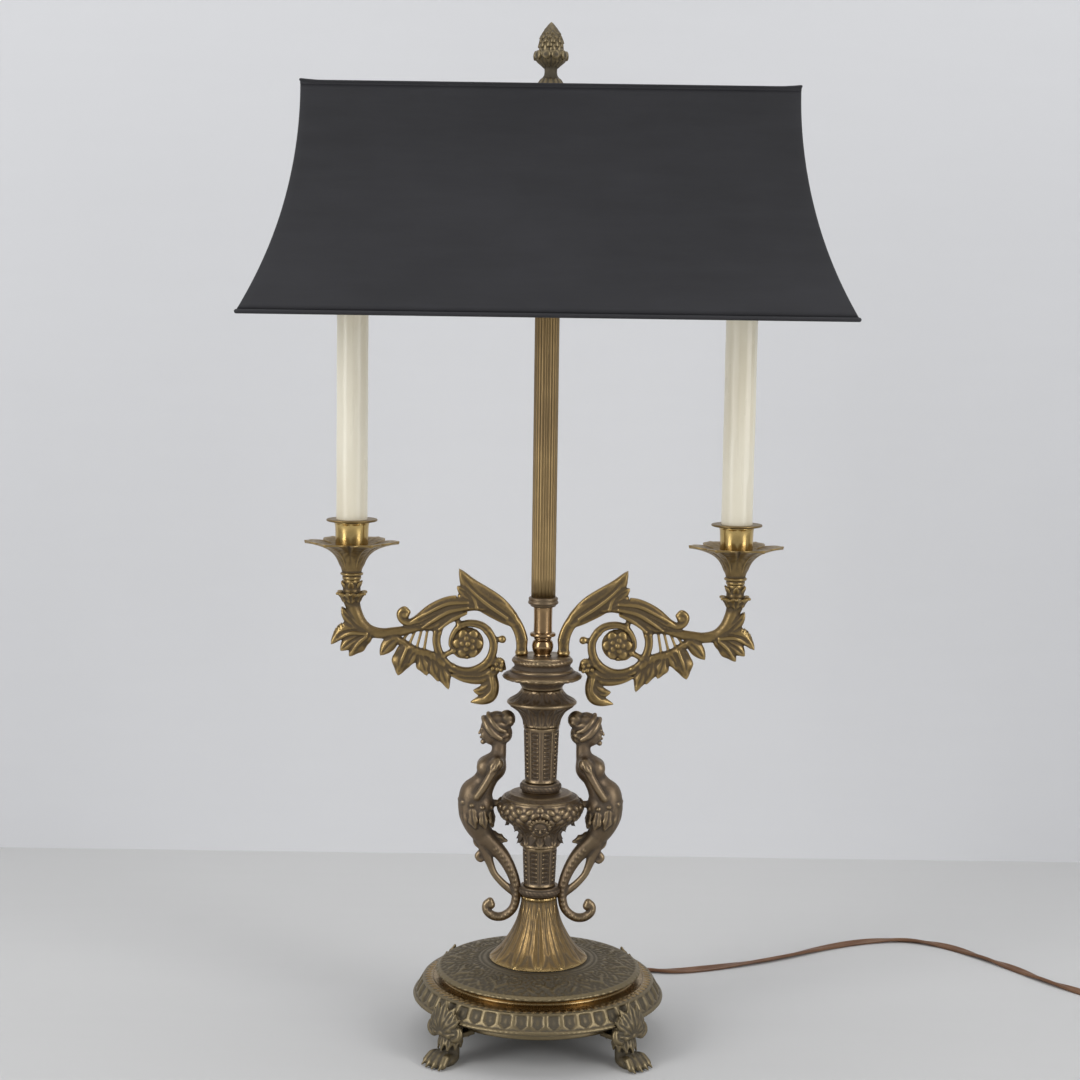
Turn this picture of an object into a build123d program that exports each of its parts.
from build123d import *
from math import atan2, cos, degrees, hypot, pi, radians, sin, tan
import os

# Bouillotte table lamp: cast column on a footed round base, two figure brackets, two scrolled candle
# arms, a reeded rod with a finial, and a rectangular shade with concave sides that the finial holds.
# Millimetres, +Z up, origin at the middle of the footprint on the table. The front is -Y, the arms lie
# along X, and the mains lead leaves the back of the base.

os.makedirs("parts", exist_ok=True)

# ---------------------------------------------------------------- driving dimensions: column and base
pipe_r = 4.85              # 1/8 IP lamp pipe that clamps the column together
pipe_gap = 0.15            # radial clearance of every piece threaded on the pipe
fit_gap = 0.10             # radial clearance of plugged and screwed pieces
turn_gap = 0.06            # radial running clearance of pieces that turn or screw

foot_height = 22.0         # table to the underside of the plinth
foot_circle_r = 96.0       # middle of each paw's sole
foot_angle = 45.0          # first foot, measured from +X
foot_count = 4
paw_length = 30.0          # along the radius
paw_width = 22.0
ankle_length = 13.0
ankle_width = 13.0
bracket_width = 30.0       # leaf bracket that laps over the plinth's side
bracket_depth = 15.0
bracket_proud = 4.0        # outside the plinth's bead
toe_groove = 1.6           # grooves that part the toes
tang_length = 20.0         # flat tongue under the rim that takes the screw
tang_width = 14.0
tang_thickness = 4.0
foot_screw_r = 1.9
foot_screw_head_r = 3.6
foot_screw_head_h = 2.2
foot_screw_grip = 10.0     # length of thread in the plinth

plinth_r = 92.0            # widest bead
plinth_height = 27.0
plinth_wall = 6.0
rim_r = 77.0               # recessed lower rim
rim_height = 8.0
bead_height = 3.6
band_top_r = 85.0
band_height = 10.0         # sloping band with the tongues
tongue_count = 48
tongue_width = 6.8
tongue_length = 7.6
tongue_depth = 1.1
groove_depth = 2.0         # polished hollow moulding under the dome
groove_height = 5.0
seat_r = 73.5              # top of the plinth

dome_r = 75.0
dome_height = 9.0
dome_edge = 2.4

stem_foot_r = 36.5
stem_foot_height = 48.5
stem_neck_r = 12.8
stem_leaf_count = 12
stem_leaf_width = 3.4

ring_r = 15.5
ring_height = 6.5
lower_shaft_height = 30.0
lower_shaft_bottom_r = 11.4
lower_shaft_top_r = 12.5
flute_count = 8
flute_r = 2.6
flute_depth = 1.1
flute_margin = 3.0

vase_height = 41.0
vase_foot_r = 15.4
vase_belly_r = 32.5
vase_shoulder_r = 24.0
vase_top_r = 14.7
vase_belly_height = 29.5   # above the vase's foot
collar_r = 15.1
collar_height = 6.6

upper_shaft_height = 41.4
upper_shaft_bottom_r = 11.5
upper_shaft_top_r = 12.8

capital_height = 28.0
capital_r = 25.5
capital_bell_r = 15.6
capital_neck_r = 15.0
capital_lip_height = 18.3

hub_height = 24.0
hub_lip_r = 28.8
hub_lip_height = 9.5
hub_top_r = 20.4
hub_cavity_r = 19.5
hub_floor = 5.0            # solid neck below the cavity
hub_roof = 7.0             # solid plate above it, that the arms stand on

bead_r = 7.9
bead_h = 14.0
spacer_ring_r = 9.4
spacer_ring_h = 3.0
spacer_r = 6.8
spacer_height = 22.0
ferrule_r = 11.0
ferrule_height = 7.0
spigot_length = 12.0       # plugs of the ferrule and the cap inside the rod

rod_r = 8.85
rod_wall = 1.3
rod_length = 342.5
reed_count = 20
reed_depth = 0.55
cap_r = 9.8
cap_height = 6.0
stud_r = 3.17              # 1/4 in finial thread
stud_length = 24.0

nut_flange_r = 15.0
nut_flange_height = 2.5
nut_height = 7.0
nut_across_flats = 16.0
pipe_proud = 3.0           # thread showing below the nut
pipe_top_gap = 1.0         # pipe stops short of the spigot's end

# ---------------------------------------------------------------- driving dimensions: finial and shade
finial_base_r = 11.5
finial_rim_height = 2.6
finial_waist_r = 4.4
finial_waist_height = 22.0
finial_cup_r = 12.7
finial_cup_height = 34.0
finial_cup_under = 28.0
finial_nut_r = 9.4
finial_height = 57.0

shade_top_width = 332.0
shade_top_depth = 182.0
shade_bottom_width = 407.0
shade_bottom_depth = 250.0
shade_height = 154.5       # rims included
shade_wall = 1.2
shade_rim_height = 3.0
shade_top_proud = 0.8
shade_bottom_proud = 2.0
shade_rim_inside = 1.6     # rim bar inside the wall
shade_recess = 7.5         # spider seat below the top edge
spider_thickness = 2.5
spider_bar_width = 7.0
spider_hub_r = 13.0
spider_clearance = 0.45    # on the stud

# ---------------------------------------------------------------- driving dimensions: candle arms
arm_reach = 139.0          # column axis to candle axis
arm_thickness = 9.0
arm_root_x = 15.2          # foot of the arm on the hub
arm_root_width = 8.0
scroll_x = 54.2            # centre of the scroll, and of its rosette
scroll_rise = 8.5          # above the hub's top
scroll_start_r = 26.5      # middle of the band where the spiral begins, above the rosette
scroll_end_r = 13.0        # and where it dies into the rosette
scroll_turn = 450.0        # degrees
scroll_band = 7.6          # width of the band at the start of the spiral
scroll_tip = 3.4           # and at its end
bud_r = 4.2
rosette_r = 12.0
rosette_dome = 3.4
leaf_thickness = 6.0
stem_r = 4.6               # branch from the scroll to the candle
elbow_r = 20.0             # bend of the branch up to the candle
branch_rise = 4.8          # branch's level part above the rosette's centre
branch_level = 36.0        # length from where it levels out to the candle's axis
spray_rail_width = 6.8     # stalk that the spray of leaves grows from
stamen_width = 2.8
socle_rise = 54.0          # top of the branch above the hub's top
socle_r = 6.75
calyx_r = 12.0
calyx_height = 10.0
calyx_drop = 16.0          # foot of the calyx below the top of the branch
stem_grip = 12.0           # depth of the tapped hole that holds the socket's stem
arm_screw_r = 2.0
arm_screw_head_r = 3.5
arm_screw_head_h = 2.6
arm_screw_grip = 9.0

pan_height = 25.5
pan_floor_height = 23.5    # seat of the candle cup inside the pan
pan_r = 34.5
pan_waist_r = 9.2
pan_thickness = 2.0
pan_leaf_count = 6
pan_notch_r = 23.0
cup_r = 12.3
cup_height = 18.5
cup_lip_height = 2.4
cup_lip_proud = 0.9
disc_r = 18.4
disc_thickness = 1.2
sleeve_r = 11.75
sleeve_wall = 1.0
sleeve_length = 157.0
sleeve_top_gap = 3.5       # socket sits this far below the sleeve's mouth
socket_r = 9.4
socket_height = 42.0
socket_base_grip = 9.0     # depth of the stem's hole in the socket
socket_shell_wall = 0.5
bulb_thread_r = 6.0
bulb_cap_height = 17.0
bulb_neck_r = 6.4
bulb_r = 15.5
bulb_glass_height = 79.0
bulb_neck_height = 9.0

# ---------------------------------------------------------------- driving dimensions: figures
figure_gap = 2.0           # back of the hips to the vase
figure_shoulder_depth = 24.0
figure_hip_depth = 25.0
figure_waist_depth = 17.0
figure_head_r = 10.6
figure_head_rise = 119.0   # its middle above the peg at the tail
figure_bun_r = 6.5
figure_bun_rise = 126.0
figure_bust_r = 4.9
figure_bust_rise = 92.0
figure_bust_spread = 5.0   # each breast from the middle plane
tail_r = 3.4
tendril_r = 2.0
curl_r = 4.4
peg_r = 2.6
tail_back = 14.5           # inner side of the tail from the back of the hips

# ---------------------------------------------------------------- driving dimensions: mains lead
cord_d = 5.5               # width of the flat twin cord
cord_length = 1800.0       # usual table-lamp lead, gland to plug
gland_angle = 72.0         # position round the base, from +X
gland_r = 3.8
gland_tip_r = 3.3
gland_length = 20.0        # outside the rim
gland_inside = 4.0
gland_nut_r = 6.0
coil_turns = 5.5
coil_mean_d = 62.0
coil_width = 16.5
coil_height = 11.0
coil_x, coil_y = 506.5, -75.0
switch_length = 58.0
switch_width = 22.0
switch_height = 11.0
switch_corner_r = 6.0
wheel_r = 8.0
wheel_thickness = 3.6
wheel_proud = 2.4
wheel_gap = 0.5
wheel_pin_r = 1.5
wheel_grip_count = 16
plug_relief_length = 20.0
plug_relief_r = 5.0
plug_length = 28.0
plug_width = 24.0
plug_height = 13.0
plug_neck_width = 13.0
blade_width = 6.35         # two-blade plug
blade_thickness = 1.5
blade_length = 16.0
blade_spacing = 12.7

# ---------------------------------------------------------------- levels that follow from them
bore_r = pipe_r + pipe_gap
plinth_z = foot_height
dome_z = plinth_z + plinth_height
stem_z = dome_z + dome_height
ring_z = stem_z + stem_foot_height
lower_shaft_z = ring_z + ring_height
vase_z = lower_shaft_z + lower_shaft_height
collar_z = vase_z + vase_height
upper_shaft_z = collar_z + collar_height
capital_z = upper_shaft_z + upper_shaft_height
hub_z = capital_z + capital_height
hub_top = hub_z + hub_height
spacer_z = hub_top + bead_h
ferrule_z = spacer_z + spacer_height
rod_z = ferrule_z + ferrule_height
cap_z = rod_z + rod_length
spider_z = cap_z + cap_height
finial_z = spider_z + spider_thickness
shade_top = spider_z + shade_recess
shade_bottom = shade_top - shade_height
socle_z = hub_top + socle_rise
calyx_z = socle_z - calyx_drop
cup_z = socle_z + pan_floor_height
disc_z = cup_z + cup_height
sleeve_z = disc_z + disc_thickness
sleeve_top = sleeve_z + sleeve_length
socket_top = sleeve_top - sleeve_top_gap
rod_bore_r = rod_r - rod_wall
sides = (("left", -1), ("right", 1))


# ================================================================ base
# The plinth's section: lower rim, overhanging bead, sloping band, shoulder, polished hollow and seat.
web_z = dome_z - plinth_wall
shelf_z = plinth_z + rim_height
band_z = shelf_z + bead_height
band_top_z = band_z + band_height
groove_z = dome_z - groove_height


def rounded_nose(radius, bottom, top):
    """Corner points of a small half-round moulding, from its lower edge to its upper one."""
    height = top - bottom
    return [(radius - height * 0.36, bottom), (radius, bottom + height * 0.3), (radius, top - height * 0.3),
            (radius - height * 0.36, top)]


def plinth_section():
    with BuildSketch(Plane.XZ) as section:
        with BuildLine():
            Polyline((bore_r, dome_z), (bore_r, web_z), (rim_r - plinth_wall, web_z),
                     (rim_r - plinth_wall, plinth_z), (rim_r, plinth_z), (rim_r, shelf_z),
                     *rounded_nose(plinth_r, shelf_z, band_z), (band_top_r, band_top_z), (seat_r, groove_z),
                     (seat_r - groove_depth, groove_z + groove_height * 0.3),
                     (seat_r - groove_depth, dome_z - groove_height * 0.3), (seat_r, dome_z), close=True)
        make_face()
    return section.sketch


band_foot_r = rounded_nose(plinth_r, shelf_z, band_z)[-1][0]
band_slope = atan2(band_foot_r - band_top_r, band_height)
band_plane = Plane(origin=((band_foot_r + band_top_r) / 2, 0, (band_z + band_top_z) / 2),
                   x_dir=(0, 1, 0), z_dir=(cos(band_slope), 0, sin(band_slope)))
gland_dir = Vector(cos(radians(gland_angle)), sin(radians(gland_angle)), 0)
gland_z = plinth_z + rim_height / 2
gland_plane = Plane(origin=gland_dir * (rim_r - plinth_wall) + Vector(0, 0, gland_z), z_dir=gland_dir)

with BuildPart() as plinth_blank:
    add(plinth_section())
    revolve(axis=Axis.Z)

with BuildPart() as base_plinth:
    add(plinth_blank.part)
    with BuildSketch(band_plane):
        Rectangle(tongue_width, tongue_length)
    tongue = extrude(amount=-tongue_depth, mode=Mode.PRIVATE)
    with PolarLocations(0, tongue_count):
        add(tongue, mode=Mode.SUBTRACT)
    with BuildSketch(gland_plane.offset(-1)):
        Circle(gland_r - fit_gap)
    extrude(amount=plinth_wall + 2, mode=Mode.SUBTRACT)
    with BuildSketch(Plane.XY.offset(plinth_z)):
        with PolarLocations(rim_r - plinth_wall / 2, foot_count, start_angle=foot_angle):
            Circle(foot_screw_r + fit_gap)
    extrude(amount=foot_screw_grip + 1, mode=Mode.SUBTRACT)
base_plinth.part.label = "base_plinth"
export_step(base_plinth.part, "parts/base_plinth.step")

with BuildPart() as base_dome:
    with BuildSketch(Plane.XZ):
        with BuildLine():
            edge = Polyline(*rounded_nose(dome_r, dome_z, dome_z + dome_edge))
            crown = Spline(edge @ 1, (stem_foot_r + dome_edge, stem_z), tangents=((-1, 0.45), (-1, 0)))
            Polyline(crown @ 1, (bore_r, stem_z), (bore_r, dome_z), edge @ 0)
        make_face()
    revolve(axis=Axis.Z)
base_dome.part.label = "base_dome"
export_step(base_dome.part, "parts/base_dome.step")

# Four paw feet: a lofted leg from the sole up to a leaf bracket that laps over the plinth's side, with
# toes in front and a flat tongue behind that is screwed up into the rim.
foot_names = ("foot_rear_right", "foot_rear_left", "foot_front_left", "foot_front_right")
bracket_r = plinth_r + bracket_proud - bracket_depth / 2
foot_levels = (
    (0.0, foot_circle_r, paw_length, paw_width),
    (0.3 * foot_height, foot_circle_r, paw_length * 0.97, paw_width),
    (0.6 * foot_height, foot_circle_r - paw_length / 5, paw_length * 0.6, paw_width * 0.75),
    (0.85 * foot_height, bracket_r + 1, ankle_length, ankle_width),
    (shelf_z + bead_height / 2, bracket_r, bracket_depth, bracket_width),
    (band_z + band_height * 0.5, bracket_r - 2.5, bracket_depth, bracket_width * 0.85),
    (band_top_z + 1, band_top_r + 1 - bracket_depth / 2, bracket_depth * 0.9, bracket_width * 0.45),
)

for number, foot_name in enumerate(foot_names):
    turn = Rotation(0, 0, foot_angle + number * 360 / foot_count)
    with BuildPart() as foot:
        for level, middle, length, width in foot_levels:
            with BuildSketch(Plane.XY.offset(level)):
                with Locations((middle, 0)):
                    Ellipse(length / 2, width / 2)
        loft(ruled=True)
        for toe in (-1, 0, 1):
            with Locations(Location((foot_circle_r + paw_length / 2, toe * paw_width * 0.26, 0),
                                    (0, 0, toe * 12 + 45))):
                Box(toe_groove * 2, toe_groove * 2, foot_height * 0.7, mode=Mode.SUBTRACT)
        with Locations((rim_r - plinth_wall - 2, 0, plinth_z - tang_thickness)):
            Box(tang_length, tang_width, tang_thickness, align=(Align.MIN, Align.CENTER, Align.MIN))
        add(plinth_blank.part, mode=Mode.SUBTRACT)
        with Locations((rim_r - plinth_wall / 2, 0, plinth_z - tang_thickness / 2)):
            Cylinder(foot_screw_r + fit_gap, tang_thickness * 2, mode=Mode.SUBTRACT)
        with Locations((foot_circle_r, 0, 0)):
            Box(2 * paw_length, 2 * paw_width, foot_height, align=(Align.CENTER, Align.CENTER, Align.MAX),
                mode=Mode.SUBTRACT)
    foot.part.label = foot_name
    export_step(turn * foot.part, f"parts/{foot_name}.step")

with BuildPart() as foot_screws:
    with BuildSketch(Plane.XY.offset(plinth_z - tang_thickness - foot_screw_head_h)):
        with PolarLocations(rim_r - plinth_wall / 2, foot_count, start_angle=foot_angle):
            Circle(foot_screw_head_r)
    extrude(amount=foot_screw_head_h)
    with BuildSketch(Plane.XY.offset(plinth_z - tang_thickness)):
        with PolarLocations(rim_r - plinth_wall / 2, foot_count, start_angle=foot_angle):
            Circle(foot_screw_r)
    extrude(amount=tang_thickness + foot_screw_grip)
foot_screws.part.label = "foot_screws"
export_step(foot_screws.part, "parts/foot_screws.step")

# ================================================================ column, from the bottom nut upwards
pipe_foot = web_z - nut_flange_height - nut_height - pipe_proud
with BuildPart() as lamp_pipe:
    with BuildSketch(Plane.XY.offset(pipe_foot)):
        Circle(pipe_r)
        Circle(pipe_r - 1.6, mode=Mode.SUBTRACT)
    extrude(amount=rod_z + spigot_length - pipe_top_gap - pipe_foot)
lamp_pipe.part.label = "lamp_pipe"
export_step(lamp_pipe.part, "parts/lamp_pipe.step")

with BuildPart() as pipe_nut:
    with BuildSketch(Plane.XY.offset(web_z)):
        Circle(nut_flange_r)
        Circle(pipe_r + fit_gap, mode=Mode.SUBTRACT)
    extrude(amount=-nut_flange_height)
    with BuildSketch(Plane.XY.offset(web_z - nut_flange_height)):
        RegularPolygon(nut_across_flats / 2, 6, major_radius=False)
        Circle(pipe_r + fit_gap, mode=Mode.SUBTRACT)
    extrude(amount=-nut_height)
pipe_nut.part.label = "pipe_nut"
export_step(pipe_nut.part, "parts/pipe_nut.step")

with BuildPart() as stem_foot:
    with BuildSketch(Plane.XZ):
        with BuildLine():
            flare = Spline((stem_foot_r, stem_z), (stem_foot_r * 0.53, stem_z + stem_foot_height * 0.45),
                           (stem_neck_r, ring_z), tangents=((-1, 0.75), (-0.1, 1)))
            Polyline(flare @ 1, (bore_r, ring_z), (bore_r, stem_z), flare @ 0)
        make_face()
    revolve(axis=Axis.Z)
    # long leaves stand round the trumpet; shallow channels part them
    with BuildSketch(Plane.XZ.offset(-stem_leaf_width / 4)):
        with BuildLine():
            channel = Spline((stem_foot_r * 0.72, stem_z + stem_foot_height * 0.22),
                             (stem_foot_r * 0.53, stem_z + stem_foot_height * 0.45),
                             (stem_neck_r, ring_z - 2), tangents=((-1, 1), (-0.1, 1)))
            Polyline(channel @ 1, (stem_neck_r * 2, ring_z - 2), channel @ 0)
        make_face()
    slit = extrude(amount=stem_leaf_width / 2, mode=Mode.PRIVATE)
    with PolarLocations(-0.9, stem_leaf_count, start_angle=180 / stem_leaf_count):
        add(slit, mode=Mode.SUBTRACT)
stem_foot.part.label = "stem_foot"
export_step(stem_foot.part, "parts/stem_foot.step")


def ring_piece(z, radius, height):
    with BuildPart() as ring:
        with BuildSketch(Plane.XZ):
            with BuildLine():
                nose = Polyline(*rounded_nose(radius, z, z + height))
                Polyline(nose @ 1, (bore_r, z + height), (bore_r, z), nose @ 0)
            make_face()
        revolve(axis=Axis.Z)
    return ring


def fluted_shaft(z, height, bottom_r, top_r):
    with BuildPart() as shaft:
        with BuildSketch(Plane.XZ):
            with BuildLine():
                Polyline((bore_r, z), (bottom_r, z), (top_r, z + height), (bore_r, z + height), close=True)
            make_face()
        revolve(axis=Axis.Z)
        lean = degrees(atan2(top_r - bottom_r, height))
        with PolarLocations(0, flute_count):
            with Locations(Location(((bottom_r + top_r) / 2 + flute_r - flute_depth, 0, z + height / 2),
                                    (0, lean, 0))):
                Cylinder(flute_r, height - 2 * flute_margin, mode=Mode.SUBTRACT)
    return shaft


lower_ring = ring_piece(ring_z, ring_r, ring_height)
lower_ring.part.label = "lower_ring"
export_step(lower_ring.part, "parts/lower_ring.step")

lower_shaft = fluted_shaft(lower_shaft_z, lower_shaft_height, lower_shaft_bottom_r, lower_shaft_top_r)
lower_shaft.part.label = "lower_shaft"
export_step(lower_shaft.part, "parts/lower_shaft.step")

with BuildPart() as vase:
    with BuildSketch(Plane.XZ):
        with BuildLine():
            bowl = Spline((vase_foot_r, vase_z + 3), (vase_foot_r + 1.2, vase_z + vase_belly_height * 0.4),
                          (vase_belly_r, vase_z + vase_belly_height), tangents=((0, 1), (0.12, 1)))
            shoulder = Spline(bowl @ 1, (vase_shoulder_r, vase_z + vase_height * 0.94),
                              (vase_top_r, collar_z), tangents=((-0.12, 1), (-1, 0.1)))
            Polyline(shoulder @ 1, (bore_r, collar_z), (bore_r, vase_z), (vase_foot_r - 2.5, vase_z),
                     bowl @ 0)
        make_face()
    revolve(axis=Axis.Z)
vase.part.label = "vase"
export_step(vase.part, "parts/vase.step")

vase_collar = ring_piece(collar_z, collar_r, collar_height)
vase_collar.part.label = "vase_collar"
export_step(vase_collar.part, "parts/vase_collar.step")

upper_shaft = fluted_shaft(upper_shaft_z, upper_shaft_height, upper_shaft_bottom_r, upper_shaft_top_r)
upper_shaft.part.label = "upper_shaft"
export_step(upper_shaft.part, "parts/upper_shaft.step")

capital_lip_z = capital_z + capital_lip_height
with BuildPart() as capital:
    with BuildSketch(Plane.XZ):
        with BuildLine():
            bell = Spline((upper_shaft_top_r, capital_z),
                          (capital_bell_r, capital_z + capital_lip_height / 2),
                          (capital_r, capital_lip_z - 1), tangents=((0.1, 1), (1, 0.5)))
            lip = Line(bell @ 1, (capital_r, capital_lip_z + 0.6))
            cove = Spline(lip @ 1, (capital_neck_r, hub_z), tangents=((-1, 0.3), (-0.2, 1)))
            Polyline(cove @ 1, (bore_r, hub_z), (bore_r, capital_z), bell @ 0)
        make_face()
    revolve(axis=Axis.Z)
capital.part.label = "capital"
export_step(capital.part, "parts/capital.step")

hub_lip_z = hub_z + hub_lip_height
with BuildPart() as hub:
    with BuildSketch(Plane.XZ):
        with BuildLine():
            cup_side = Spline((capital_neck_r, hub_z), (capital_neck_r + 1.4, hub_z + hub_lip_height * 0.3),
                              (hub_lip_r, hub_lip_z - 0.7), tangents=((0, 1), (1, 0.35)))
            edge = Line(cup_side @ 1, (hub_lip_r, hub_lip_z + 0.7))
            step = Spline(edge @ 1, (hub_top_r + 2, hub_z + hub_height * 0.6),
                          tangents=((-1, 0.1), (-0.2, 1)))
            drum = Line(step @ 1, (hub_top_r + 2, hub_z + hub_height * 0.72))
            neck = Line(drum @ 1, (hub_top_r, hub_z + hub_height * 0.76))
            side = Line(neck @ 1, (hub_top_r, hub_top - 1))
            top_edge = Line(side @ 1, (hub_top_r - 1, hub_top))
            Polyline(top_edge @ 1, (bore_r, hub_top), (bore_r, hub_top - hub_roof),
                     (hub_cavity_r, hub_top - hub_roof), (hub_cavity_r, hub_z + hub_height * 0.4),
                     (capital_neck_r * 0.75, hub_z + hub_floor), (bore_r, hub_z + hub_floor),
                     (bore_r, hub_z), cup_side @ 0)
        make_face()
    revolve(axis=Axis.Z)
    with BuildSketch(Plane.XY.offset(hub_top)):
        with Locations((arm_root_x, 0), (-arm_root_x, 0)):
            Circle(arm_screw_r + fit_gap)
    extrude(amount=-hub_roof, mode=Mode.SUBTRACT)
hub.part.label = "hub"
export_step(hub.part, "parts/hub.step")

with BuildPart() as column_bead:
    with BuildSketch(Plane.XZ):
        with BuildLine():
            swell = Spline((spacer_r - 1, hub_top), (bead_r, hub_top + bead_h / 2),
                           (spacer_r - 0.6, spacer_z), tangents=((0.6, 1), (-0.3, 1)))
            Polyline(swell @ 1, (bore_r, spacer_z), (bore_r, hub_top), swell @ 0)
        make_face()
    revolve(axis=Axis.Z)
column_bead.part.label = "column_bead"
export_step(column_bead.part, "parts/column_bead.step")

with BuildPart() as spacer_tube:
    with BuildSketch(Plane.XZ):
        with BuildLine():
            Polyline(*rounded_nose(spacer_ring_r, spacer_z, spacer_z + spacer_ring_h),
                     (spacer_r, spacer_z + spacer_ring_h), (spacer_r, ferrule_z), (bore_r, ferrule_z),
                     (bore_r, spacer_z), close=True)
        make_face()
    revolve(axis=Axis.Z)
spacer_tube.part.label = "spacer_tube"
export_step(spacer_tube.part, "parts/spacer_tube.step")

with BuildPart() as rod_ferrule:
    with BuildSketch(Plane.XZ):
        with BuildLine():
            Polyline((bore_r, ferrule_z), (spacer_r, ferrule_z),
                     (spacer_r + 1.2, ferrule_z + ferrule_height * 0.35),
                     (ferrule_r, ferrule_z + ferrule_height * 0.6), (ferrule_r, rod_z - 0.8),
                     (ferrule_r - 0.8, rod_z), (rod_bore_r - fit_gap, rod_z),
                     (rod_bore_r - fit_gap, rod_z + spigot_length), (bore_r, rod_z + spigot_length),
                     close=True)
        make_face()
    revolve(axis=Axis.Z)
rod_ferrule.part.label = "rod_ferrule"
export_step(rod_ferrule.part, "parts/rod_ferrule.step")

# The rod is a drawn tube with reeds all round it.
reed_r = pi * (rod_r - reed_depth) / reed_count
with BuildPart() as rod:
    with BuildSketch(Plane.XY.offset(rod_z)):
        Circle(rod_r - reed_depth)
        with PolarLocations(rod_r - reed_r, reed_count):
            Circle(reed_r)
        Circle(rod_bore_r, mode=Mode.SUBTRACT)
    extrude(amount=rod_length)
rod.part.label = "rod"
export_step(rod.part, "parts/rod.step")

with BuildPart() as rod_cap:
    with BuildSketch(Plane.XZ):
        with BuildLine():
            Polyline((0, cap_z - spigot_length), (rod_bore_r - fit_gap, cap_z - spigot_length),
                     (rod_bore_r - fit_gap, cap_z), (cap_r - 0.8, cap_z), (cap_r, cap_z + 0.8),
                     (cap_r, spider_z - 1.2), (cap_r - 1.2, spider_z), (stud_r, spider_z),
                     (stud_r, spider_z + stud_length), (0, spider_z + stud_length), close=True)
        make_face()
    revolve(axis=Axis.Z)
rod_cap.part.label = "rod_cap"
export_step(rod_cap.part, "parts/rod_cap.step")

# Acorn finial: flared foot, slim waist, leafy cup and pointed nut, tapped from below for the stud.
finial_top = finial_z + finial_height
with BuildPart() as finial:
    with BuildSketch(Plane.XZ):
        with BuildLine():
            rim = Polyline(*rounded_nose(finial_base_r, finial_z, finial_z + finial_rim_height))
            waist = Spline(rim @ 1, (finial_waist_r * 1.7, finial_z + finial_waist_height * 0.62),
                           (finial_waist_r, finial_z + finial_waist_height), tangents=((-1, 0.6), (0, 1)))
            under = Spline(waist @ 1, (finial_cup_r * 0.72, finial_z + finial_cup_under),
                           (finial_cup_r, finial_z + finial_cup_height), tangents=((0, 1), (0.2, 1)))
            over = Spline(under @ 1, (finial_nut_r, finial_z + finial_cup_height + 3.4),
                          tangents=((-0.1, 1), (-1, 0.6)))
            nut = Spline(over @ 1, (finial_nut_r * 0.9, finial_z + finial_cup_height + 10.5),
                         (1.2, finial_top - 1.4), (0, finial_top), tangents=((0.1, 1), (-1, 0.1)))
            Polyline(nut @ 1, (0, finial_z), rim @ 0)
        make_face()
    revolve(axis=Axis.Z)
    with BuildSketch(Plane.XY.offset(finial_z)):
        Circle(stud_r + turn_gap)
    extrude(amount=stud_length - spider_thickness + 1.5, mode=Mode.SUBTRACT)
finial.part.label = "finial"
export_step(finial.part, "parts/finial.step")

# ================================================================ shade
# Four concave faces, each a cylinder that is upright at the top edge, meet in mitred corners.
wall_top = shade_top - shade_rim_height
wall_bottom = shade_bottom + shade_rim_height


def shade_face(top_half, bottom_half):
    with BuildSketch() as face:
        with BuildLine():
            right = TangentArc((top_half, wall_top), (bottom_half, wall_bottom), tangent=(0, -1))
            left = TangentArc((-top_half, wall_top), (-bottom_half, wall_bottom), tangent=(0, -1))
            Line(right @ 0, left @ 0)
            Line(right @ 1, left @ 1)
        make_face()
    return face.sketch


def shade_block(inset):
    long_face = shade_face(shade_top_width / 2 - inset, shade_bottom_width / 2 - inset)
    short_face = shade_face(shade_top_depth / 2 - inset, shade_bottom_depth / 2 - inset)
    with BuildPart() as block:
        with BuildSketch(Plane.XZ):
            add(long_face)
        extrude(amount=shade_bottom_depth, both=True)
        with BuildSketch(Plane.YZ):
            add(short_face)
        extrude(amount=shade_bottom_width, both=True, mode=Mode.INTERSECT)
    return block.part


shade_outside = shade_block(0)
shade_inside = shade_block(shade_wall)
with BuildPart() as shade_shell:
    add(shade_outside)
    add(shade_inside, mode=Mode.SUBTRACT)
shade_shell.part.label = "shade_shell"
export_step(shade_shell.part, "parts/shade_shell.step")


def shade_rim(z, width, depth, proud):
    with BuildPart() as rim_bar:
        with BuildSketch(Plane.XY.offset(z)):
            RectangleRounded(width + 2 * proud, depth + 2 * proud, shade_wall + proud)
            Rectangle(width - 2 * (shade_wall + shade_rim_inside),
                      depth - 2 * (shade_wall + shade_rim_inside), mode=Mode.SUBTRACT)
        extrude(amount=shade_rim_height)
    return rim_bar


shade_top_rim = shade_rim(wall_top, shade_top_width, shade_top_depth, shade_top_proud)
shade_top_rim.part.label = "shade_top_rim"
export_step(shade_top_rim.part, "parts/shade_top_rim.step")

shade_bottom_rim = shade_rim(shade_bottom, shade_bottom_width, shade_bottom_depth, shade_bottom_proud)
shade_bottom_rim.part.label = "shade_bottom_rim"
export_step(shade_bottom_rim.part, "parts/shade_bottom_rim.step")


def spider_bar(reach):
    with BuildSketch() as bar:
        with BuildLine():
            Polyline((0, spider_z), (reach, spider_z), (reach, shade_top),
                     (reach - spider_thickness, shade_top), (reach - spider_thickness, finial_z),
                     (0, finial_z), close=True)
        make_face()
        mirror(about=Plane.YZ)
    return bar.sketch


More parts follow.
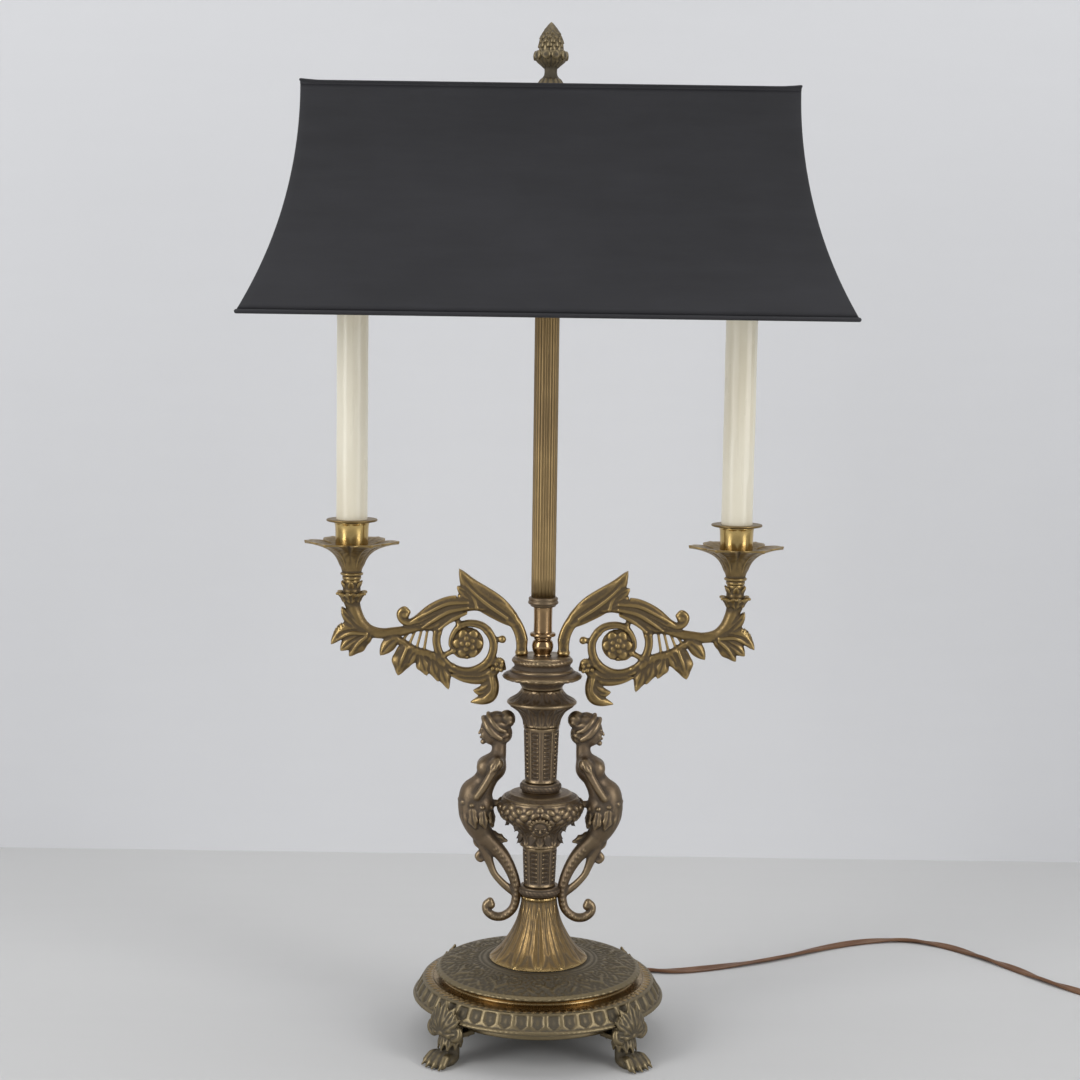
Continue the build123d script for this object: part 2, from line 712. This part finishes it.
long_bar = spider_bar(shade_top_width / 2 - shade_wall - shade_rim_inside)
short_bar = spider_bar(shade_top_depth / 2 - shade_wall - shade_rim_inside)
with BuildPart() as shade_spider:
    with BuildSketch(Plane.XZ):
        add(long_bar)
    extrude(amount=spider_bar_width / 2, both=True)
    with BuildSketch(Plane.YZ):
        add(short_bar)
    extrude(amount=spider_bar_width / 2, both=True)
    with BuildSketch(Plane.XY.offset(spider_z)):
        Circle(spider_hub_r)
    extrude(amount=spider_thickness)
    with BuildSketch(Plane.XY.offset(spider_z)):
        Circle(stud_r + spider_clearance)
    extrude(amount=spider_thickness, mode=Mode.SUBTRACT)
shade_spider.part.label = "shade_spider"
export_step(shade_spider.part, "parts/shade_spider.step")

# ================================================================ candle arms
# One arm is a casting: a band that rises from the hub, rolls into a spiral round a rosette, throws
# leaves off its back, and sends a branch out to the candle. It is drawn in the XZ plane.
scroll_z = hub_top + scroll_rise
branch_z = scroll_z + branch_rise


def at_scroll(dx, dz):
    return (scroll_x + dx, scroll_z + dz)


def spiral_point(share):
    """Middle of the band after this share of its clockwise turn from the top."""
    radius = scroll_start_r - (scroll_start_r - scroll_end_r) * share
    angle = radians(90 - scroll_turn * share)
    return at_scroll(radius * cos(angle), radius * sin(angle))


def ribbon(middle, widths):
    """Closed outline of a band whose width changes along its middle line."""
    left, right = [], []
    for i, (x, z) in enumerate(middle):
        before = middle[max(i - 1, 0)]
        after = middle[min(i + 1, len(middle) - 1)]
        along = hypot(after[0] - before[0], after[1] - before[1])
        nx, nz = -(after[1] - before[1]) / along, (after[0] - before[0]) / along
        left.append((x + nx * widths[i] / 2, z + nz * widths[i] / 2))
        right.append((x - nx * widths[i] / 2, z - nz * widths[i] / 2))
    with BuildSketch() as band:
        with BuildLine():
            one = Spline(*left)
            other = Spline(*right)
            Line(one @ 0, other @ 0)
            Line(one @ 1, other @ 1)
        make_face()
    return band.sketch


root_rise = [(arm_root_x, hub_top), (arm_root_x, hub_top + 4), (arm_root_x + 0.6, hub_top + 13),
             at_scroll(-34.0, 14.4), at_scroll(-25.8, 24.0), at_scroll(-13.5, 28.6)]
root_widths = [arm_root_width, arm_root_width, 8.2, 8.8, 9.6, 9.6]
spiral_steps = 15
band_middle = root_rise + [spiral_point(step / spiral_steps) for step in range(spiral_steps + 1)]
band_widths = root_widths + [scroll_band + (scroll_tip - scroll_band) * step / spiral_steps
                             for step in range(spiral_steps + 1)]

# leaves: each is a pointed shape between two curved edges, given by its roots, bulges and tip
crest_leaf = ((-28, 26), (-8, 41), (8.1, 54), (5, 43), (6, 27))
crest_lobe = ((-6, 32), (3, 39.5), (11, 42.4), (7, 36), (4, 27))
back_leaf = ((0, 28), (24, 28), (47, 15.5), (40, 9), (20, 14))
ring_leaf = ((-24, -16), (-8, -21), (13.5, -24.5), (-6, -29), (-22, -27))
end_root = (-12.0, -1.5)   # from where the candle's axis meets the branch; tips and widths of its lobes
end_lobes = ((16.5, -9.0, 8.5), (10.0, -14.0, 7.0), (4.7, -17.9, 8.5))
sheath_leaf = (-10.0, 4.0, 5.5, 20.0, 8.0)
spray_rail = ((17.8, -15.5), (27.8, -9.5), (39.8, -5.5), (49.8, -1.0), (55.8, 1.5))
spray = ((46.8, 1.5, 64.2, -12.1, 8.0), (41.8, -2.5, 51.4, -26.9, 11.0), (37.8, -5.5, 36.0, -18.0, 7.0),
         (33.8, -5.5, 29.4, -25.1, 8.0), (25.8, -9.5, 21.0, -30.1, 8.0), (19.8, -13.5, 13.2, -35.7, 8.0))
stamens = ((30.3, 13.0, 32.3, -6.0), (34.8, 11.5, 39.3, -4.5), (39.3, 10.0, 45.8, -3.0),
           (43.8, 8.5, 51.8, -0.5))
struts = ((9.0, 21.5, 6.0, 12.0), (21.0, -10.0, 12.0, -6.5))
tail_curl = ((-16.7, -22.5), (-18.4, -31.5), (-16.6, -38.5), (-11.2, -41.5), (-1.8, -43.7))
tail_widths = (8.4, 9.2, 9.6, 8.0, 1.8)
back_curl = ((39.8, 11.5), (46.8, 12.3), (50.8, 16.5), (49.8, 21.0), (45.8, 21.8))
back_curl_widths = (6.8, 6.0, 5.4, 5.0, 4.0)


def pointed_leaf(root_a, bulge_a, tip, bulge_b, root_b):
    with BuildSketch() as leaf:
        with BuildLine():
            one = Spline(root_a, bulge_a, tip)
            other = Spline(root_b, bulge_b, tip)
            Line(one @ 0, other @ 0)
        make_face()
    return leaf.sketch


def straight_leaf(root, tip, width):
    """Narrow leaf, symmetrical about its midrib."""
    root, tip = Vector(*root), Vector(*tip)
    across = (tip - root).normalized().rotate(Axis.Z, 90) * width / 2
    belly = root * 0.4 + tip * 0.6
    return pointed_leaf(root + across / 2, belly + across, tip, belly - across, root - across / 2)


def scroll_ribbon(middle, widths):
    return ribbon([at_scroll(*point) for point in middle], widths)


def straight_bar(x0, z0, x1, z1, width):
    return ribbon([at_scroll(x0, z0), at_scroll(x1, z1)], [width, width])


scroll_band_face = ribbon(band_middle, band_widths)
leaf_faces = [pointed_leaf(*(at_scroll(*point) for point in leaf))
              for leaf in (crest_leaf, crest_lobe, back_leaf, ring_leaf)]
leaf_faces += [straight_leaf(at_scroll(x0, z0), at_scroll(x1, z1), width) for x0, z0, x1, z1, width in spray]
leaf_faces += [straight_leaf((arm_reach + end_root[0], branch_z + end_root[1]),
                             (arm_reach + dx, branch_z + dz), width) for dx, dz, width in end_lobes]
leaf_faces += [straight_leaf((arm_reach + sheath_leaf[0], branch_z + sheath_leaf[1]),
                             (arm_reach + sheath_leaf[2], branch_z + sheath_leaf[3]), sheath_leaf[4])]
leaf_faces += [scroll_ribbon(spray_rail, [spray_rail_width] * len(spray_rail)),
               scroll_ribbon(tail_curl, tail_widths), scroll_ribbon(back_curl, back_curl_widths)]
leaf_faces += [straight_bar(*bar, stamen_width) for bar in stamens]
leaf_faces += [straight_bar(*bar, scroll_tip) for bar in struts]

with BuildPart() as arm_right:
    with BuildSketch(Plane.XZ):
        add(scroll_band_face)
    extrude(amount=arm_thickness / 2, both=True)
    for leaf_face in leaf_faces:
        with BuildSketch(Plane.XZ):
            add(leaf_face)
        extrude(amount=leaf_thickness / 2, both=True)
    # rosette: a low dome on both faces of the scroll's eye
    with BuildSketch(Plane.XZ):
        with Locations(at_scroll(0, 0)):
            Circle(rosette_r)
    extrude(amount=arm_thickness / 2, both=True)
    with Locations(Location((scroll_x, 0, scroll_z), (90, 0, 0))):
        Cylinder(rosette_r * 0.5, arm_thickness + 2 * rosette_dome)
    with Locations(Location((scroll_x - scroll_start_r + bud_r / 2, 0, scroll_z + bud_r / 2), (90, 0, 0))):
        Cylinder(bud_r, leaf_thickness)
    # the branch comes down off the back leaf, runs level, then sweeps up under the candle
    with BuildLine(Plane.XZ) as branch:
        FilletPolyline(at_scroll(scroll_start_r, scroll_start_r * 0.45), (arm_reach - branch_level, branch_z),
                       (arm_reach, branch_z), (arm_reach, calyx_z + 1), radius=[elbow_r, elbow_r])
    with BuildSketch(Plane(origin=branch.line @ 0, z_dir=branch.line % 0)):
        Circle(stem_r)
    sweep(path=branch.line)
    # calyx: a cup of short leaves round the top of the branch, and the socle that the pan stands on
    with BuildSketch(Plane.XZ):
        with BuildLine():
            calyx = Spline((arm_reach + stem_r, calyx_z),
                           (arm_reach + calyx_r, calyx_z + calyx_height * 0.62),
                           (arm_reach + socle_r, calyx_z + calyx_height), tangents=((1, 0.6), (-1, 0.4)))
            Polyline(calyx @ 1, (arm_reach + socle_r, socle_z), (arm_reach, socle_z), (arm_reach, calyx_z),
                     calyx @ 0)
        make_face()
    revolve(axis=Axis((arm_reach, 0, 0), (0, 0, 1)))
    with BuildSketch(Plane.XY.offset(socle_z)):
        with Locations((arm_reach, 0)):
            Circle(bore_r)
    extrude(amount=-stem_grip, mode=Mode.SUBTRACT)
    with BuildSketch(Plane.XY.offset(hub_top)):
        with Locations((arm_root_x, 0)):
            Circle(arm_screw_r + fit_gap)
    extrude(amount=arm_screw_grip, mode=Mode.SUBTRACT)
arm_right.part.label = "arm_right"
export_step(arm_right.part, "parts/arm_right.step")

with BuildPart() as arm_left:
    mirror(arm_right.part, about=Plane.YZ)
arm_left.part.label = "arm_left"
export_step(arm_left.part, "parts/arm_left.step")

with BuildPart() as arm_screws:
    with BuildSketch(Plane.XY.offset(hub_top - hub_roof)):
        with Locations((arm_root_x, 0), (-arm_root_x, 0)):
            Circle(arm_screw_head_r)
    extrude(amount=-arm_screw_head_h)
    with BuildSketch(Plane.XY.offset(hub_top - hub_roof)):
        with Locations((arm_root_x, 0), (-arm_root_x, 0)):
            Circle(arm_screw_r)
    extrude(amount=hub_roof + arm_screw_grip - 1)
arm_screws.part.label = "arm_screws"
export_step(arm_screws.part, "parts/arm_screws.step")

# ================================================================ candle fittings, the same on both arms
socket_z = socket_top - socket_height
shell_bore_r = bulb_thread_r + turn_gap
shell_r = shell_bore_r + socket_shell_wall
shell_z = socket_top - bulb_cap_height - 1.5
stem_top = socket_z + socket_base_grip
pan_top = socle_z + pan_height


def flared_pan(x):
    """Trumpet that opens into pointed leaves: a turned shell cut to a star from above."""
    with BuildPart() as pan:
        with BuildSketch(Plane.XZ):
            with BuildLine():
                outer = Spline((x + socle_r, socle_z), (x + pan_waist_r, socle_z + pan_height * 0.5),
                               (x + pan_r, pan_top - pan_thickness), tangents=((0.05, 1), (1, 0.12)))
                lip = Line(outer @ 1, (x + pan_r, pan_top))
                inner = Spline(lip @ 1, (x + cup_r + 1, cup_z), tangents=((-1, -0.05), (-1, -0.3)))
                Polyline(inner @ 1, (x + bore_r, cup_z), (x + bore_r, socle_z), outer @ 0)
            make_face()
        revolve(axis=Axis((x, 0, 0), (0, 0, 1)))
        notch_angle = pi / pan_leaf_count
        with BuildSketch(Plane.XY.offset(socle_z)):
            with BuildLine():
                for leaf in range(pan_leaf_count):
                    a = 2 * leaf * notch_angle
                    tip = (x + pan_r * 1.02 * cos(a), pan_r * 1.02 * sin(a))
                    for side in (-1, 1):
                        notch = (x + pan_notch_r * cos(a + side * notch_angle),
                                 pan_notch_r * sin(a + side * notch_angle))
                        cheek = (x + pan_r * 0.9 * cos(a + side * notch_angle * 0.55),
                                 pan_r * 0.9 * sin(a + side * notch_angle * 0.55))
                        Spline(tip, cheek, notch)
            make_face()
        extrude(amount=pan_height, mode=Mode.INTERSECT)
    return pan


for side, sign in sides:
    candle_x = sign * arm_reach
    candle_axis = Axis((candle_x, 0, 0), (0, 0, 1))

    leaf_pan = flared_pan(candle_x)
    leaf_pan.part.label = f"leaf_pan_{side}"
    export_step(leaf_pan.part, f"parts/leaf_pan_{side}.step")

    with BuildPart() as candle_cup:
        with BuildSketch(Plane.XZ):
            with BuildLine():
                wall = Spline((candle_x + cup_r - 1.5, cup_z),
                              (candle_x + cup_r - 0.3, cup_z + cup_height * 0.4),
                              (candle_x + cup_r, disc_z - cup_lip_height - 0.1),
                              tangents=((0.3, 1), (0, 1)))
                Polyline(wall @ 1, (candle_x + cup_r, disc_z - cup_lip_height),
                         (candle_x + cup_r + cup_lip_proud, disc_z - cup_lip_height * 0.7),
                         (candle_x + cup_r + cup_lip_proud, disc_z - cup_lip_height * 0.3),
                         (candle_x + cup_r, disc_z), (candle_x + bore_r, disc_z), (candle_x + bore_r, cup_z),
                         wall @ 0)
            make_face()
        revolve(axis=candle_axis)
    candle_cup.part.label = f"candle_cup_{side}"
    export_step(candle_cup.part, f"parts/candle_cup_{side}.step")

    with BuildPart() as drip_disc:
        with BuildSketch(Plane.XZ):
            with BuildLine():
                Polyline((candle_x + bore_r, disc_z), (candle_x + disc_r - 1.5, disc_z),
                         (candle_x + disc_r, disc_z + disc_thickness),
                         (candle_x + disc_r - 0.3, sleeve_z + 0.8), (candle_x + disc_r - 2.4, sleeve_z),
                         (candle_x + bore_r, sleeve_z), close=True)
            make_face()
        revolve(axis=candle_axis)
    drip_disc.part.label = f"drip_disc_{side}"
    export_step(drip_disc.part, f"parts/drip_disc_{side}.step")

    with BuildPart() as socket_stem:
        with BuildSketch(Plane.XY.offset(socle_z - stem_grip + 1)):
            with Locations((candle_x, 0)):
                Circle(pipe_r)
                Circle(pipe_r - 1.6, mode=Mode.SUBTRACT)
        extrude(amount=stem_top - socle_z + stem_grip - 2)
    socket_stem.part.label = f"socket_stem_{side}"
    export_step(socket_stem.part, f"parts/socket_stem_{side}.step")

    with BuildPart() as socket_body:
        with BuildSketch(Plane.XZ):
            with BuildLine():
                Polyline((candle_x + bore_r, socket_z), (candle_x + socket_r - 0.8, socket_z),
                         (candle_x + socket_r, socket_z + 0.8), (candle_x + socket_r, socket_top),
                         (candle_x + shell_r + fit_gap, socket_top), (candle_x + shell_r + fit_gap, shell_z),
                         (candle_x, shell_z), (candle_x, stem_top), (candle_x + bore_r, stem_top), close=True)
            make_face()
        revolve(axis=candle_axis)
    socket_body.part.label = f"socket_body_{side}"
    export_step(socket_body.part, f"parts/socket_body_{side}.step")

    with BuildPart() as socket_shell:
        with BuildSketch(Plane.XY.offset(shell_z)):
            with Locations((candle_x, 0)):
                Circle(shell_r)
        extrude(amount=socket_top - 1 - shell_z)
        with BuildSketch(Plane.XY.offset(shell_z + socket_shell_wall)):
            with Locations((candle_x, 0)):
                Circle(shell_bore_r)
        extrude(amount=socket_top - shell_z, mode=Mode.SUBTRACT)
    socket_shell.part.label = f"socket_shell_{side}"
    export_step(socket_shell.part, f"parts/socket_shell_{side}.step")

    with BuildPart() as candle_sleeve:
        with BuildSketch(Plane.XY.offset(sleeve_z)):
            with Locations((candle_x, 0)):
                Circle(sleeve_r)
                Circle(sleeve_r - sleeve_wall, mode=Mode.SUBTRACT)
        extrude(amount=sleeve_length)
    candle_sleeve.part.label = f"candle_sleeve_{side}"
    export_step(candle_sleeve.part, f"parts/candle_sleeve_{side}.step")

    with BuildPart() as bulb_cap:
        with BuildSketch(Plane.XZ):
            with BuildLine():
                Polyline((candle_x, socket_top), (candle_x + bulb_thread_r, socket_top),
                         (candle_x + bulb_thread_r, socket_top - bulb_cap_height + 4),
                         (candle_x + bulb_thread_r * 0.5, socket_top - bulb_cap_height),
                         (candle_x, socket_top - bulb_cap_height), close=True)
            make_face()
        revolve(axis=candle_axis)
    bulb_cap.part.label = f"bulb_cap_{side}"
    export_step(bulb_cap.part, f"parts/bulb_cap_{side}.step")

    with BuildPart() as bulb_glass:
        with BuildSketch(Plane.XZ):
            with BuildLine():
                neck = Line((candle_x + bulb_neck_r, socket_top),
                            (candle_x + bulb_neck_r, socket_top + bulb_neck_height))
                flame = Spline(neck @ 1, (candle_x + bulb_r, socket_top + bulb_glass_height * 0.42),
                               (candle_x + bulb_r * 0.45, socket_top + bulb_glass_height * 0.82),
                               (candle_x, socket_top + bulb_glass_height), tangents=((0.1, 1), (-0.5, 1)))
                Polyline(flame @ 1, (candle_x, socket_top), neck @ 0)
            make_face()
        revolve(axis=candle_axis)
    bulb_glass.part.label = f"bulb_glass_{side}"
    export_step(bulb_glass.part, f"parts/bulb_glass_{side}.step")

# ================================================================ figures
# Each figure faces outwards and arches away from the column: head, bust without arms, waist, leafy
# hips, then a tail that splits, pegs to the lower ring and rolls outwards into a curl.
figure_x = max(vase_belly_r + figure_gap, ring_r + 19)   # back of the hips
figure_z = ring_z + ring_height / 2                      # the tail's peg


def at_figure(dx, dz):
    return (figure_x + dx, 0, figure_z + dz)


# middle of each section, its thickness in the XZ plane and its depth along Y
figure_sections = (
    ((-2.2, 112.0), 10.0, 10.0),
    ((-3.0, 104.0), 10.5, 11.0),
    ((0.6, 95.5), 16.5, figure_shoulder_depth),
    ((5.5, 86.0), 19.0, figure_shoulder_depth - 2),
    ((12.0, 76.0), 14.0, figure_waist_depth),
    ((13.2, 61.2), 24.0, figure_hip_depth),
    ((11.0, 48.2), 20.5, figure_hip_depth - 4),
    ((5.5, 38.2), 14.0, 15.0),
    ((-1.0, 30.2), 9.0, 9.5),
)
tail_path = ((-1, 31.2), (-7.5, 21.2), (-13, 8.2), (-15.2, -4.7), (-13, -15.7), (-6.5, -21.2), (1, -21),
             (4.8, -15.7), (2, -11.5))
tendril_path = ((3.0, 33.0), (3.4, 21.0), (-2.0, 13.0), (-11.0, 5.0))
hip_leaf_root = (3.5, 40.0)
hip_leaf_tips = ((-11.0, 36.0), (10.0, 27.5))
hip_leaf_width = 9.0
tail_face = ribbon([(figure_x + dx, figure_z + dz) for dx, dz in tail_path], [2 * tail_r] * len(tail_path))
tendril_face = ribbon([(figure_x + dx, figure_z + dz) for dx, dz in tendril_path], [2 * tendril_r] * 4)

with BuildPart() as figure_right:
    for i, ((dx, dz), thickness, depth) in enumerate(figure_sections):
        above = figure_sections[max(i - 1, 0)][0]
        below = figure_sections[min(i + 1, len(figure_sections) - 1)][0]
        spine = (above[0] - below[0], 0, above[1] - below[1])
        with BuildSketch(Plane(origin=at_figure(dx, dz), x_dir=(0, 1, 0), z_dir=spine)):
            Ellipse(depth / 2, thickness / 2)
    loft()
    with Locations(at_figure(0, figure_head_rise)):
        Sphere(figure_head_r)
    with Locations(at_figure(-figure_bun_r, figure_bun_rise)):
        Sphere(figure_bun_r)
    bust_x, _, bust_z = at_figure(figure_shoulder_depth / 2 - 2, figure_bust_rise)
    with Locations((bust_x, figure_bust_spread, bust_z), (bust_x, -figure_bust_spread, bust_z)):
        Sphere(figure_bust_r)
    with BuildSketch(Plane.XZ):
        add(tail_face)
    extrude(amount=tail_r, both=True)
    with BuildSketch(Plane.XZ):
        add(tendril_face)
    extrude(amount=tendril_r, both=True)
    with Locations(Location(at_figure(2, -11.5), (90, 0, 0)), Location(at_figure(8.0, 25.5), (90, 0, 0))):
        Cylinder(curl_r, 2 * tail_r)
    for tip_dx, tip_dz in hip_leaf_tips:
        with BuildSketch(Plane.XZ):
            add(straight_leaf((figure_x + hip_leaf_root[0], figure_z + hip_leaf_root[1]),
                              (figure_x + tip_dx, figure_z + tip_dz), hip_leaf_width))
        extrude(amount=tendril_r, both=True)
    # pegs that are cast on the figure and seat on the vase and the lower ring
    for peg_from, peg_to, peg_z in ((vase_belly_r - peg_r, figure_x + 3 * peg_r, vase_z + vase_belly_height),
                                    (ring_r - peg_r, figure_x - tail_back, figure_z)):
        with Locations(Location((peg_from, 0, peg_z), (0, 90, 0))):
            Cylinder(peg_r, peg_to - peg_from, align=(Align.CENTER, Align.CENTER, Align.MIN))
    add(vase.part, mode=Mode.SUBTRACT)
    add(lower_ring.part, mode=Mode.SUBTRACT)
figure_right.part.label = "figure_right"
export_step(figure_right.part, "parts/figure_right.step")

with BuildPart() as figure_left:
    mirror(figure_right.part, about=Plane.YZ)
figure_left.part.label = "figure_left"
export_step(figure_left.part, "parts/figure_left.step")

# ================================================================ mains lead
# Gland: a bush clamped in the rim by its inner nut, with a tapered sleeve outside.
gland_tip = gland_plane.origin + gland_dir * (plinth_wall + gland_length)
with BuildPart() as cord_gland:
    with BuildSketch(gland_plane):
        Circle(gland_r - 2 * fit_gap)
    extrude(amount=plinth_wall)
    with BuildSketch(gland_plane):
        Circle(min(gland_nut_r, rim_height / 2 - fit_gap))
    extrude(amount=-gland_inside)
    with BuildSketch(gland_plane.offset(plinth_wall)):
        Circle(gland_r)
    with BuildSketch(gland_plane.offset(plinth_wall + gland_length)):
        Circle(gland_tip_r)
    loft()
    with BuildSketch(gland_plane.offset(-gland_inside)):
        Circle(cord_d / 2)
    extrude(amount=gland_inside + plinth_wall + gland_length, mode=Mode.SUBTRACT)
    add(base_plinth.part, mode=Mode.SUBTRACT)
cord_gland.part.label = "cord_gland"
export_step(cord_gland.part, "parts/cord_gland.step")


def corner_radii(points):
    """As large an arc at each corner as its two runs allow."""
    radii = []
    for before, corner, after in zip(points, points[1:], points[2:]):
        run_in = Vector(*corner) - Vector(*before)
        run_out = Vector(*after) - Vector(*corner)
        half_turn = radians(run_in.get_angle(run_out)) / 2
        radii.append(0.45 * min(run_in.length, run_out.length) / tan(half_turn))
    return radii


def cord_tube(points):
    radii = corner_radii(points)
    print("cord radii", [round(r) for r in radii])
    with BuildPart() as tube:
        with BuildLine() as route:
            FilletPolyline(*points, radius=radii)
        with BuildSketch(Plane(origin=route.line @ 0, z_dir=route.line % 0)):
            Circle(cord_d / 2)
        sweep(path=route.line)
    length = route.wires()[0].length
    print("cord tube", round(length, 1), "mm, volume over section times length",
          round(tube.part.volume / (pi * cord_d ** 2 / 4 * length), 4))
    return tube, length


floor_z = cord_d / 2
switch_z = switch_height / 2
plug_z = plug_height / 2
lead_points = [
    tuple(gland_tip),
    (35.5, 109.0, 24.5), (45, 126, 12), (60, 139, floor_z), (84, 146, floor_z), (108, 141, floor_z),
    (136, 149, floor_z), (165, 162, floor_z), (200, 180, floor_z), (240, 209, floor_z), (278, 229, floor_z),
    (314, 237, floor_z), (345, 221, floor_z), (370, 191, floor_z), (392, 159, floor_z), (410, 130, floor_z),
    (432, 103, floor_z), (450, 80, floor_z), (460, 54, switch_z), (462, 30, switch_z),
]
cord_lead, lead_length = cord_tube(lead_points)
cord_lead.part.label = "cord_lead"
export_step(cord_lead.part, "parts/cord_lead.step")

# In-line switch: two halves round a thumb wheel whose rim shows at one side.
switch_dir = (Vector(*lead_points[-1]) - Vector(*lead_points[-2])).normalized()
switch_plane = Plane(origin=Vector(*lead_points[-1]) - Vector(0, 0, switch_z), x_dir=switch_dir,
                     z_dir=(0, 0, 1))
wheel_y = switch_width / 2 + wheel_proud - wheel_r
pocket_height = wheel_thickness + 2 * wheel_gap


def switch_half(from_z, to_z):
    with BuildPart() as half:
        with BuildSketch(switch_plane.offset(from_z)):
            with Locations((switch_length / 2, 0)):
                RectangleRounded(switch_length, switch_width, switch_corner_r)
        extrude(amount=to_z - from_z)
        with BuildSketch(switch_plane.offset(switch_z - pocket_height / 2)):
            with Locations((switch_length / 2, wheel_y)):
                Circle(wheel_r + wheel_gap)
        extrude(amount=pocket_height, mode=Mode.SUBTRACT)
    return half


lower_half = switch_half(0, switch_z)
with BuildPart() as switch_base:
    add(lower_half.part)
    with BuildSketch(switch_plane.offset(switch_z - pocket_height / 2)):
        with Locations((switch_length / 2, wheel_y)):
            Circle(wheel_pin_r)
    extrude(amount=pocket_height)
switch_base.part.label = "switch_base"
export_step(switch_base.part, "parts/switch_base.step")

switch_cover = switch_half(switch_z, switch_height)
switch_cover.part.label = "switch_cover"
export_step(switch_cover.part, "parts/switch_cover.step")

with BuildPart() as switch_wheel:
    with BuildSketch(switch_plane.offset(switch_z - wheel_thickness / 2)):
        with Locations((switch_length / 2, wheel_y)):
            Circle(wheel_r)
            with PolarLocations(wheel_r, wheel_grip_count):
                Circle(0.55, mode=Mode.SUBTRACT)
            Circle(wheel_pin_r + turn_gap, mode=Mode.SUBTRACT)
    extrude(amount=wheel_thickness)
switch_wheel.part.label = "switch_wheel"
export_step(switch_wheel.part, "parts/switch_wheel.step")

# Past the switch the rest of the lead is wound into a coil, and its end runs to the plug.
switch_exit = Vector(*lead_points[-1]) + switch_dir * switch_length
run_points = [tuple(switch_exit), tuple(switch_exit + switch_dir * 16), (470, -63, floor_z + 1),
              (470.3, -78, floor_z)]
cord_run, run_length = cord_tube(run_points)
cord_run.part.label = "cord_run"
export_step(cord_run.part, "parts/cord_run.step")

with BuildPart() as cord_coil:
    with BuildSketch(Plane(origin=(coil_x, coil_y, 0), x_dir=(1, 0, 0), z_dir=(0, -1, 0))):
        with Locations((coil_mean_d / 2, coil_height / 2)):
            corners = Rectangle(coil_width, coil_height).vertices()
            chamfer(corners, cord_d * 0.3)
    revolve(axis=Axis((coil_x, coil_y, 0), (0, 0, 1)))
cord_coil.part.label = "cord_coil"
export_step(cord_coil.part, "parts/cord_coil.step")

tail_x = coil_x + coil_mean_d / 2 + coil_width / 2 - cord_d / 2
tail_points = [(tail_x, coil_y - 4, floor_z), (tail_x + 0.5, coil_y + 14, floor_z),
               (tail_x - 0.5, coil_y + 30, plug_z), (tail_x - 1.5, coil_y + 45, plug_z)]
cord_tail, tail_length = cord_tube(tail_points)
cord_tail.part.label = "cord_tail"
export_step(cord_tail.part, "parts/cord_tail.step")

coil_length = coil_turns * pi * coil_mean_d
made_length = lead_length + switch_length + run_length + coil_length + tail_length
print("lead in all", round(made_length), "mm of", round(cord_length))

# Plug: tapered strain relief, moulded body, two flat blades.
plug_dir = (Vector(*tail_points[-1]) - Vector(*tail_points[-2])).normalized()
plug_plane = Plane(origin=tail_points[-1], x_dir=(0, 0, 1), z_dir=plug_dir)
with BuildPart() as plug_body:
    with BuildSketch(plug_plane):
        Circle(cord_d / 2 + 0.8)
    with BuildSketch(plug_plane.offset(plug_relief_length)):
        Circle(plug_relief_r)
    loft()
    with BuildSketch(plug_plane.offset(plug_relief_length)):
        RectangleRounded(plug_height * 0.8, plug_neck_width, 3)
    with BuildSketch(plug_plane.offset(plug_relief_length + plug_length * 0.5)):
        RectangleRounded(plug_height, plug_width, 3)
    loft()
    with BuildSketch(plug_plane.offset(plug_relief_length + plug_length * 0.5)):
        RectangleRounded(plug_height, plug_width, 3)
    extrude(amount=plug_length * 0.5)
plug_body.part.label = "plug_body"
export_step(plug_body.part, "parts/plug_body.step")

with BuildPart() as plug_blades:
    with BuildSketch(plug_plane.offset(plug_relief_length + plug_length)):
        with Locations((0, blade_spacing / 2), (0, -blade_spacing / 2)):
            Rectangle(blade_width, blade_thickness)
    extrude(amount=blade_length)
plug_blades.part.label = "plug_blades"
export_step(plug_blades.part, "parts/plug_blades.step")
